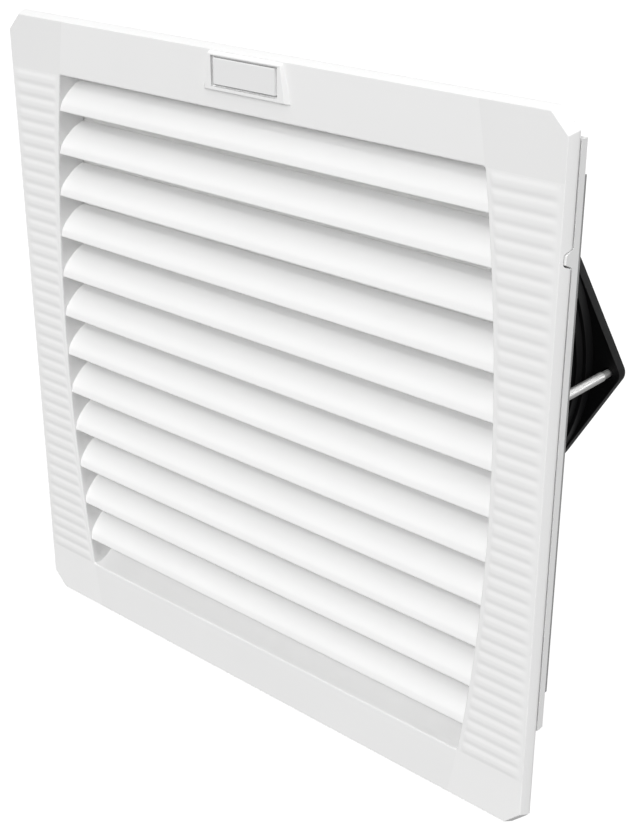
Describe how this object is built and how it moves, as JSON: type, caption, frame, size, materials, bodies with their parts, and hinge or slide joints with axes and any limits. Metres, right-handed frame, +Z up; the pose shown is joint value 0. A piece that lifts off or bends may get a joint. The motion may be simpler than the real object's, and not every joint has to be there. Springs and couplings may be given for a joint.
{
  "type": "cabinet filter fan",
  "caption": "Square filter fan for an enclosure panel: hinged white louvre cover over a filter mat, clip-in base frame, funnel and black two-eared axial fan behind.",
  "frame": {"origin": "centre of the square panel cut-out, on the panel's outer face where the gasket seats", "axes": "+Y into the cabinet along the fan's axis, +Z up, +X to the right as the cover is seen from outside"},
  "size_m": [0.25, 0.1176, 0.25],
  "materials": {
    "cover_white": "fine satin moulded plastic, warm-neutral white",
    "base_white": "satin moulded plastic",
    "badge": "smooth, bare",
    "gasket": "closed-cell foam seal",
    "fleece": "bonded fibre mat",
    "funnel": "moulded black plastic",
    "fan_black": "die-cast, black powder coat",
    "black_plastic": "glass-filled plastic",
    "steel": "zinc-plated steel",
    "spring_steel": "bright spring strip",
    "guard_wire": "bright plated wire",
    "lamination": "stacked sheet",
    "copper": "enamelled wire",
    "brass": "tinned brass strip",
    "rotor_steel": "black coated steel cup"
  },
  "bodies": {
    "housing": {"base_frame": "base_white", "panel_gasket": "gasket", "panel_clips": "spring_steel", "clip_rivets": "steel", "filter_mat": "fleece", "mat_grid": "base_white", "funnel_frame": "funnel", "fan_funnel": "funnel", "funnel_screws": "steel", "fan_frame": "fan_black", "motor_bracket": "fan_black", "fan_screws": "steel", "fan_nuts": "steel", "finger_guard": "guard_wire", "front_bearing": "steel", "rear_bearing": "steel", "preload_spring": "spring_steel", "stator_core": "lamination", "stator_winding": "copper", "motor_cap": "black_plastic", "terminal_block": "black_plastic", "terminal_tabs": "brass"},
    "cover": {"louvre_cover": "cover_white", "badge_plate": "badge", "hinge_pins": "steel", "cover_latch": "cover_white"},
    "rotor": {"rotor_cup": "rotor_steel", "impeller": "black_plastic", "rotor_shaft": "steel", "shaft_circlip": "spring_steel"}
  },
  "joints": [
    {"name": "cover_hinge", "type": "hinge", "parent": "housing", "child": "cover", "pos_m": [0, -0.0063, -0.12], "axis": [1, 0, 0], "range_deg": [0, 90]},
    {"name": "rotor_spin", "type": "hinge", "parent": "housing", "child": "rotor", "pos_m": [0, 0.075, 0], "axis": [0, 1, 0], "continuous": true}
  ]
}
